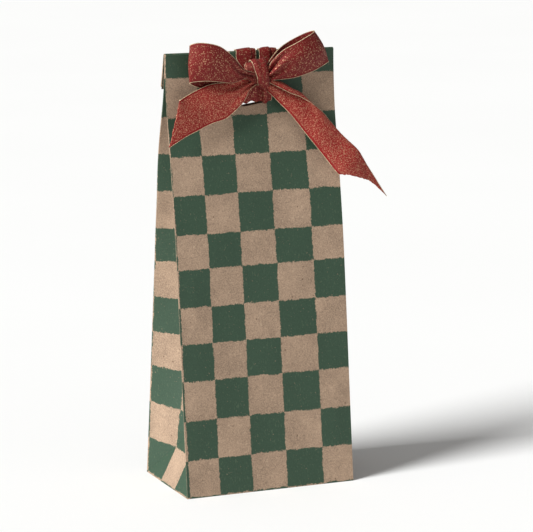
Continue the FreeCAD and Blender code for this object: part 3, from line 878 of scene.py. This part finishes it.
BIGHT = [
    [(-5, -8.6, 313), (-1, -9.8, 313.4), (4, -9, 313.4), (9, -9.8, 313), (13, -8.4, 312.5)],
    [(-7.4, -8.4, 308.8), (-2.2, -10.6, 309), (3.4, -8.4, 308.6), (9, -10.8, 308.6), (14, -8.8, 308.2)],
    [(-9, -7.4, 303.6), (-3, -9.8, 303.6), (4, -7.2, 303.6), (9.4, -9.8, 303.4), (15, -8, 303.2)],
    [(-9.4, -6, 299), (-3, -7.8, 299), (4.4, -6.2, 299.4), (9.6, -8, 298.2), (15.4, -7, 299.4)],
    [(-9, -3.9, 297.4), (-2.6, -4.7, 297.6), (4.4, -4, 298.2), (9.6, -4.6, 296.6), (15, -4.2, 297.8)],
    [(-8.6, -1.6, 298.2), (-2, -2, 298.6), (5, -1.6, 299.4), (10, -2, 299), (15, -1.6, 299.6)],
    [(-7.6, 1.2, 300.4), (-1, 1, 300.2), (5, 1.4, 301), (10, 1, 300.8), (14, 1.4, 302)],
    [(-6.4, 4.2, 302), (0, 4.2, 302), (5, 4.4, 303), (10, 4.2, 302.8), (14, 4.4, 303.6)],
]

# Stations of the two strands that run from the knot up over the top fold and down behind it to the slot:
# stage, (y, z) of the paper below, outward direction as an angle from -Y towards +Z, and lift off the paper
STRAND_PATH = [
    ("knot", -4.6, 317.0, 0, 1.0), ("opening", -3.6, 324.0, 4, 1.0), ("crest", -2.0, 331.0, 4, 0.9),
    ("crest", -1.5, 336.2, 38, 0.9), ("crest", 0.0, 337.0, 90, 0.9), ("crest", 1.55, 336.0, 142, 0.9),
    ("crest", 2.4, 332.5, 168, 0.9), ("flap", 4.6, 323.5, 168, 0.9), ("flap", 7.0, 313.5, 168, 1.0),
    ("flap", 7.6, 309.4, 180, 1.2), ("slot", 6.4, 306.0, 215, 1.0), ("slot", 3.6, 304.6, 260, 0.4),
    ("slot", 0.4, 304.2, 270, 0.2),
]
# Places of seven lines across each strand, with a pleat folded under at the middle three
LEFT_STRAND = {"knot": (-4.8, -2.4, 0.8, -3.2, -0.8, 1.2, 2.6), "crest": (-12.0, -6.2, -0.4, -5.4, -1.6, 1.4, 4.0),
               "flap": (-10.5, -5.6, -0.8, -4.2, -1.4, 1.2, 3.6), "slot": (-8.0, -4.6, -0.8, -3.6, -1.2, 1.0, 3.0)}
RIGHT_STRAND = {"knot": (3.2, 5.4, 7.8, 3.8, 6.2, 7.8, 9.2), "crest": (7.0, 11.2, 15.6, 9.6, 13.8, 17.8, 21.5),
                "flap": (6.0, 9.8, 13.8, 8.4, 12.0, 15.6, 19.0), "slot": (5.0, 8.2, 11.4, 6.8, 9.6, 12.6, 15.0)}
STRAND_RIDGES = (0.1, 0.8, 1.3, 0.8, 0.3, 0.7, 0.2)
OPENING = 0.45                       # how far the strand has spread from the knot's width to the crest's

CURVE_STEPS = 400                    # samples that measure a ribbon's length
ACROSS = 28                          # mesh cells across a ribbon
ALONG = 1 * MM                       # length of a mesh cell along it
PLEAT_EDGE = 0.12                    # share of the width that a pleat keeps clear of, beside each edge
PLEAT_DRIFT, DRIFT_RATE = 0.35, 0.11
CRUMPLE_RATE = 70
FINE_CRUMPLE = (2.7, 0.4)            # how much finer and lower the second crumple is
WAVE_RATES = (45, 62)                # across and along the ribbon
FRAY = 0.8 * MM
STITCH_LEAN = math.radians(38)
STITCH_SIZES = (0.82, 1.18)          # smallest and largest
KNOT_CENTRE = Vector((3, -10, 319))
CORE_RINGS, CORE_SEGMENTS = 22, 36
CORE_FOLDS, CORE_FOLD_DEPTH = 5, 0.10


def strand_rows(places):
    """Control points of one strand over the top."""
    opening = [k + (c - k) * OPENING for k, c in zip(places["knot"], places["crest"])]
    rows = []
    for stage, y, z, degrees, lift in STRAND_PATH:
        a = math.radians(degrees)
        rows.append([(x, y - math.cos(a) * (lift + ridge), z + math.sin(a) * (lift + ridge))
                     for x, ridge in zip(places.get(stage, opening), STRAND_RIDGES)])
    return rows


def turned_under(rows, depth=1.3):
    """Rows of five control points, the last side turned in towards the knot's centre and back behind the rest."""
    folded = []
    for row in rows:
        front = [Vector(point) for point in row]
        behind = [point + (KNOT_CENTRE - point).normalized() * depth for point in front]
        folded.append([*front, *reversed(behind[1:]), behind[1].lerp(behind[0], 0.6)])
    return folded


def spline(points, closed, t):
    """Point on a Catmull-Rom curve through the points, at t counted in points."""
    count = len(points)
    i = min(int(t), count - (1 if closed else 2))
    f = t - i

    def at(k):
        if closed:
            return points[k % count]
        if k < 0:
            return points[0] * 2 - points[1]
        return points[k] if k < count else points[-1] * 2 - points[-2]

    p0, p1, p2, p3 = at(i - 1), at(i), at(i + 1), at(i + 2)
    return 0.5 * (2 * p1 + (p2 - p0) * f + (2 * p0 - 5 * p1 + 4 * p2 - p3) * f * f
                  + (3 * p1 - p0 - 3 * p2 + p3) * f**3)


class Pleats:
    """Folds gathered into a ribbon: how high, how many, and how far from its ends they last."""

    def __init__(self, height, count, start_reach, end_reach=0.0, phase=0.0):
        self.height, self.count, self.phase = height * MM, count, phase
        self.start_reach, self.end_reach = start_reach * MM, end_reach * MM

    def lift(self, across, along, length):
        near = 1 - smoothstep(0.0, self.start_reach, along)
        if self.end_reach:
            near = max(near, 1 - smoothstep(0.0, self.end_reach, length - along))
        edge = smoothstep(0.0, PLEAT_EDGE, across) * smoothstep(0.0, PLEAT_EDGE, 1 - across)
        drift = PLEAT_DRIFT * math.sin(along / MM * DRIFT_RATE + self.phase)
        return self.height * near * edge * math.sin(math.tau * (self.count * across + drift) + self.phase)


def ribbon_surface(rows, width, pleats=None, closed=False, crumple=0.25, waves=0.0, seed=0.0):
    """Points and UVs of a ribbon through control rows. Returns (grid of points, grid of uvs, length)."""
    control = [[Vector(p) * MM for p in row] for row in rows]
    across = len(control[0])
    spine = [row[across // 2] for row in control]
    turns = len(spine) if closed else len(spine) - 1
    samples = [spline(spine, closed, turns * k / CURVE_STEPS) for k in range(CURVE_STEPS + 1)]
    run = [0.0]
    for a, b in zip(samples, samples[1:]):
        run.append(run[-1] + (b - a).length)
    length = run[-1]
    along_cells = max(round(length / ALONG), 8)
    grid, uvs = [], []
    k = 0
    for i in range(along_cells + 1):
        target = length * i / along_cells
        while k < CURVE_STEPS - 1 and run[k + 1] < target:
            k += 1
        t = turns * min((k + (target - run[k]) / max(run[k + 1] - run[k], 1e-9)) / CURVE_STEPS, 1.0)
        t = t if closed else min(t, turns - 1e-6)
        section = [spline([row[c] for row in control], closed, t) for c in range(across)]
        grid.append([spline(section, False, (across - 1) * min(j / ACROSS, 1 - 1e-7))
                     for j in range(ACROSS + 1)])
        uvs.append([(width * (j / ACROSS), target) for j in range(ACROSS + 1)])
    raised = []
    for i, row in enumerate(grid):
        ahead, behind = grid[min(i + 1, along_cells)], grid[max(i - 1, 0)]
        raised.append([])
        for j, (p, (u, v)) in enumerate(zip(row, uvs[i])):
            normal = (row[min(j + 1, ACROSS)] - row[max(j - 1, 0)]).cross(ahead[j] - behind[j])
            normal = normal.normalized() if normal.length > 1e-12 else Vector((0, -1, 0))
            spot = Vector((p.x * CRUMPLE_RATE, p.z * CRUMPLE_RATE, p.y * CRUMPLE_RATE + seed))
            fine = FINE_CRUMPLE[1] * noise.noise(spot * FINE_CRUMPLE[0])
            lift = pleats.lift(j / ACROSS, v, length) if pleats else 0.0
            lift += crumple * MM * (noise.noise(spot) + fine)
            lift += waves * MM * noise.noise(Vector((u * WAVE_RATES[0], v * WAVE_RATES[1], seed)))
            raised[-1].append(p + normal * lift)
    return raised, uvs, length


def stitch_group():
    """Geometry nodes that lay a twisted cord of stitches along the mesh edges they are given."""
    tree = bpy.data.node_groups.new("Edge stitching", "GeometryNodeTree")
    for label, kind in (("Geometry", "Geometry"), ("Pitch", "Float"), ("Radius", "Float"), ("Length", "Float"),
                        ("Seed", "Int"), ("Thread", "Material")):
        tree.interface.new_socket(label, in_out="INPUT", socket_type=f"NodeSocket{kind}")
    tree.interface.new_socket("Geometry", in_out="OUTPUT", socket_type="NodeSocketGeometry")
    w = Wiring(tree)
    entry = w.nodes.new("NodeGroupInput").outputs

    def add(kind, result, modes=(), **values):
        node = w.nodes.new(kind)
        for label, mode in modes:
            setattr(node, label, mode)
        return w.fill(node, **values)[result]

    line = add("GeometryNodeMeshToCurve", "Curve", Mesh=entry["Geometry"])
    even = add("GeometryNodeResampleCurve", "Curve", [("mode", "LENGTH")], Curve=line, Length=entry["Pitch"])
    bead = add("GeometryNodeMeshUVSphere", "Mesh", Segments=6, Rings=4, Radius=1.0)
    size = add("ShaderNodeCombineXYZ", "Vector", X=entry["Radius"], Y=entry["Radius"], Z=entry["Length"])
    tangent = add("GeometryNodeInputTangent", "Tangent")
    along = add("FunctionNodeAlignRotationToVector", "Rotation", [("axis", "Z")], Vector=tangent)
    lean = add("FunctionNodeRotateRotation", "Rotation", [("rotation_space", "LOCAL")], Rotation=along,
               Rotate_By=(STITCH_LEAN, 0, 0))
    vary = w.nodes.new("FunctionNodeRandomValue")
    vary.data_type = "FLOAT"
    vary.inputs[2].default_value, vary.inputs[3].default_value = STITCH_SIZES
    w.fill(vary, Seed=entry["Seed"])
    scale = add("ShaderNodeVectorMath", "Vector", [("operation", "SCALE")], Vector=size,
                Scale=vary.outputs[1])
    laid = add("GeometryNodeInstanceOnPoints", "Instances", Points=even, Instance=bead, Rotation=lean,
               Scale=scale)
    whole = add("GeometryNodeRealizeInstances", "Geometry", Geometry=laid)
    smooth = add("GeometryNodeSetShadeSmooth", "Geometry", Geometry=whole)
    dyed = add("GeometryNodeSetMaterial", "Geometry", Geometry=smooth, Material=entry["Thread"])
    w.fill(w.nodes.new("NodeGroupOutput"), Geometry=dyed)
    return tree


def edge_stitching(name, lines, ribbon, thread, seed):
    """Gold stitching along polylines, as a plain mesh."""
    tree = bpy.data.node_groups.get("Edge stitching") or stitch_group()
    points, edges = [], []
    for line in lines:
        start = len(points)
        points += line
        edges += [(start + k, start + k + 1) for k in range(len(line) - 1)]
    obj = add_object(name, points, [], edges=edges)
    stitches = obj.modifiers.new("Stitches", "NODES")
    stitches.node_group = tree
    sockets = {item.name: item.identifier for item in tree.interface.items_tree if item.in_out == "INPUT"}
    for label, value in (("Pitch", ribbon.stitch_pitch), ("Radius", ribbon.stitch_radius),
                         ("Length", ribbon.stitch_length), ("Seed", seed), ("Thread", thread)):
        stitches[sockets[label]] = value
    apply_modifiers(obj)
    return obj


def ribbon_piece(name, rows, scene, seed, edged=(True, True), ragged=False, cloth="ribbon", **shape):
    """A length of ribbon and its edge stitching. Returns (ribbon object, stitching object, length)."""
    ribbon, made = scene.bag_ribbon, materials(scene)
    grid, uvs, length = ribbon_surface(rows, ribbon.width, seed=seed * 3.7, **shape)
    points = [p for row in grid for p in row]
    if ragged:
        # threads fray where the ribbon is cut
        for j, (end, before) in enumerate(zip(grid[-1], grid[-2])):
            fray = FRAY * noise.noise(Vector((j * 2.3, seed, 0.5)))
            points[j - len(grid[-1])] = end + (end - before).normalized() * fray
    obj = add_object(name, points, grid_faces(len(grid), len(grid[0])), "Ribbon",
                     [uv for row in uvs for uv in row])
    soften(obj, 50)
    thicken(obj, ribbon.thickness, 0.0, [made[cloth]])
    lines = [[row[k] for row in grid] for k, wanted in zip((0, -1), edged) if wanted]
    stitches = edge_stitching(f"{name}_stitching", lines, ribbon, made["gold"], seed)
    return obj, stitches, length


def bow_piece(name, rows, scene, seed, start, end, held, **shape):
    """A loop or a tail: a length of ribbon from the knot outwards, with its stitching, left in place."""
    cloth, stitches, length = ribbon_piece(f"{name}_ribbon", rows, scene, seed, **shape)
    for piece in (cloth, stitches):
        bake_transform(piece)
    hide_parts(name)


def tied_piece(name, node, rows, scene, seed, held="folded", share=1.0, **shape):
    """A length of ribbon that stays with the bag. share is not used."""
    cloth, stitches, length = ribbon_piece(name, rows, scene, seed, **shape)
    for piece in (cloth, stitches):
        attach(piece, "bag")
    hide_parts(node)


class GIFTBAG_OT_loops(bpy.types.Operator):
    """Shape the two loops of the bow"""
    bl_idname = "giftbag.loops"
    bl_label = "Bow Loops"

    def execute(self, context):
        for name, rows, seed, start, end in (("left_loop", LEFT_LOOP, 1, (-6, 0, 320), (-17, 0, 320)),
                                             ("right_loop", RIGHT_LOOP, 2, (11, 0, 320), (22, 0, 320))):
            bow_piece(name, rows, context.scene, seed, start, end, "folded", waves=1.5,
                      pleats=Pleats(2.2, 2.6, 30, 24, phase=seed * 1.3))
        return {"FINISHED"}


class GIFTBAG_OT_tails(bpy.types.Operator):
    """Shape the two tails of the bow"""
    bl_idname = "giftbag.tails"
    bl_label = "Bow Tails"

    def execute(self, context):
        for name, rows, seed, start, end in (("left_tail", LEFT_TAIL, 3, (-4, 0, 311), (-16, 0, 303)),
                                             ("right_tail", RIGHT_TAIL, 4, (12, 0, 309), (24, 0, 299))):
            # the tails take the copy of the ribbon with painted light
            bow_piece(name, rows, context.scene, seed, start, end, "hung", waves=1.3, ragged=True,
                      cloth="painted_lit_ribbon", pleats=Pleats(1.5, 2.2, 34, phase=seed * 0.9))
        return {"FINISHED"}


class GIFTBAG_OT_strands(bpy.types.Operator):
    """Lay the two strands over the top fold to the slot"""
    bl_idname = "giftbag.strands"
    bl_label = "Ribbon Over The Top"

    def execute(self, context):
        for side, places, seed in (("left", LEFT_STRAND, 5), ("right", RIGHT_STRAND, 6)):
            node = f"ribbon_{side}_strand"
            tied_piece(f"{node}_cloth", node, strand_rows(places), context.scene, seed, crumple=0.15)
        return {"FINISHED"}


class GIFTBAG_OT_knot(bpy.types.Operator):
    """Tie the knot and the bight that runs into the slot"""
    bl_idname = "giftbag.knot"
    bl_label = "Knot"

    def execute(self, context):
        scene = context.scene
        tied_piece("knot_wrap_cloth", "knot_wrap", turned_under(KNOT_WRAP), scene, 7, closed=True, crumple=0.3)
        tied_piece("ribbon_bight_cloth", "ribbon_slot_bight", BIGHT, scene, 8, held="gathered", crumple=0.5,
                   pleats=Pleats(1.4, 3.1, 40, phase=1.0))
        # the real ribbon is folded in half along its length here; this piece has stitching on one edge only
        tied_piece("knot_under_turn_cloth", "knot_wrap", UNDER_TURN, scene, 9, share=0.5, edged=(True, False),
                   crumple=0.5, pleats=Pleats(0.5, 1.6, 40, phase=2.0))
        core = self.core(scene)
        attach(core, "bag")
        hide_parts("knot_core")
        return {"FINISHED"}

    def core(self, scene):
        """Crushed ribbon inside the knot."""
        low, high = [Vector(corner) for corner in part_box("knot_core")]
        centre, half = (low + high) / 2, (high - low) / 2
        rings, segments = CORE_RINGS, CORE_SEGMENTS
        points, uvs = [], []
        for r in range(rings + 1):
            a = math.pi * r / rings
            for s in range(segments):
                b = math.tau * s / segments
                girth = math.sin(a) * (1 + CORE_FOLD_DEPTH * math.sin(CORE_FOLDS * b + 2 * math.cos(a)))
                points.append(centre + half * Vector((girth * math.cos(b), girth * math.sin(b), math.cos(a))))
                uvs.append((scene.bag_ribbon.width * s / segments, a * half.z * 2))
        faces = [(r * segments + s, (r + 1) * segments + s, (r + 1) * segments + (s + 1) % segments,
                  r * segments + (s + 1) % segments) for r in range(rings) for s in range(segments)]
        obj = add_object("knot_core_cloth", points, faces, "Ribbon", uvs)
        shape = bmesh.new()
        shape.from_mesh(obj.data)
        bmesh.ops.remove_doubles(shape, verts=shape.verts, dist=0.01 * MM)
        bmesh.ops.recalc_face_normals(shape, faces=shape.faces)
        shape.to_mesh(obj.data)
        shape.free()
        soften(obj, 60)
        obj.data.materials.append(materials(scene)["ribbon"])
        return obj


# ---------------------------------------------------------------- stage

SKY = (1.0, 0.99, 0.975, 1.0)
SKY_STRENGTH = 0.27
KEY_PLACE = (math.radians(-77), math.radians(32))      # azimuth and elevation of the key light
KEY_SOFTNESS = math.radians(22)
KEY_STRENGTH = 4.9
KEY_COLOUR = (0.975, 0.985, 0.985)
LENS_SHIFT = (0.0319, -0.0028)
AIM = Vector((0, 0, 170 * MM))                          # what the camera turns about
FLOOR_LINES = (-14.0, -2.0, 2.0, 14.0)


def place_towards(obj, centre, azimuth, elevation, distance):
    """Put a lamp or a camera at a distance from a centre, looking back at it; azimuth 0 is in front."""
    away = Vector((math.sin(azimuth) * math.cos(elevation), -math.cos(azimuth) * math.cos(elevation),
                   math.sin(elevation)))
    obj.location = centre + away * distance
    obj.rotation_euler = (-away).to_track_quat("-Z", "Y").to_euler()
    bpy.context.scene.collection.objects.link(obj)


class GIFTBAG_OT_stage(bpy.types.Operator):
    """Set the floor, the light and the camera"""
    bl_idname = "giftbag.stage"
    bl_label = "Stage"

    def execute(self, context):
        scene, stage = context.scene, context.scene.bag_stage
        self.floor(stage)
        world = bpy.data.worlds.new("Studio")
        world.use_nodes = True
        sky = world.node_tree.nodes["Background"]
        sky.inputs["Color"].default_value = SKY
        sky.inputs["Strength"].default_value = SKY_STRENGTH
        scene.world = world
        light = bpy.data.lights.new("key", "SUN")
        light.angle, light.energy, light.color = KEY_SOFTNESS, KEY_STRENGTH, KEY_COLOUR
        place_towards(bpy.data.objects.new("key", light), Vector(), *KEY_PLACE, 2)
        lens = bpy.data.cameras.new("camera")
        lens.sensor_width, lens.lens = 36.0, stage.focal
        lens.shift_x, lens.shift_y = LENS_SHIFT
        scene.camera = bpy.data.objects.new("camera", lens)
        place_towards(scene.camera, AIM, stage.azimuth, stage.elevation, stage.distance)
        scene.view_settings.view_transform = "Standard"
        scene.view_settings.look = "None"
        return {"FINISHED"}

    def floor(self, stage):
        """A plain floor out past the camera's view."""
        material, shader, w = new_material("Studio floor")
        w.fill(shader, Base_Color=w.mix(w.noise(w.place(), 2.0), tint(stage.floor, 0.97), tuple(stage.floor)),
               Roughness=0.9)
        points = [(x, y, 0.0) for y in FLOOR_LINES for x in FLOOR_LINES]
        obj = add_object("studio_floor", points, grid_faces(len(FLOOR_LINES), len(FLOOR_LINES)))
        soften(obj, 60)
        obj.data.materials.append(material)


# ---------------------------------------------------------------- add-on


class GIFTBAG_PT_panel(bpy.types.Panel):
    """Steps that build the bag"""
    bl_label = "Wine Gift Bag"
    bl_idname = "GIFTBAG_PT_panel"
    bl_space_type = "VIEW_3D"
    bl_region_type = "UI"
    bl_category = "Gift Bag"

    def draw(self, context):
        layout = self.layout
        for group in (context.scene.bag_paper, context.scene.bag_print, context.scene.bag_ribbon,
                      context.scene.bag_stage):
            box = layout.box()
            for name in group.bl_rna.properties.keys():
                if name not in ("rna_type", "name"):
                    box.prop(group, name)
        for step in STEPS:
            layout.operator(step.bl_idname)


STEPS = (GIFTBAG_OT_paper, GIFTBAG_OT_top_fold, GIFTBAG_OT_base, GIFTBAG_OT_loops, GIFTBAG_OT_tails,
         GIFTBAG_OT_strands, GIFTBAG_OT_knot, GIFTBAG_OT_stage)
SETTINGS = {"bag_paper": PaperSettings, "bag_print": PrintSettings, "bag_ribbon": RibbonSettings,
            "bag_stage": StageSettings}


def register():
    for settings in SETTINGS.values():
        bpy.utils.register_class(settings)
    for name, settings in SETTINGS.items():
        setattr(bpy.types.Scene, name, bpy.props.PointerProperty(type=settings))
    for step in STEPS:
        bpy.utils.register_class(step)
    bpy.utils.register_class(GIFTBAG_PT_panel)


def unregister():
    bpy.utils.unregister_class(GIFTBAG_PT_panel)
    for step in reversed(STEPS):
        bpy.utils.unregister_class(step)
    for name in SETTINGS:
        delattr(bpy.types.Scene, name)
    for settings in reversed(list(SETTINGS.values())):
        bpy.utils.unregister_class(settings)


def main():
    register()
    for step in STEPS:
        group, name = step.bl_idname.split(".")
        getattr(getattr(bpy.ops, group), name)()


if __name__ == "__main__":
    main()
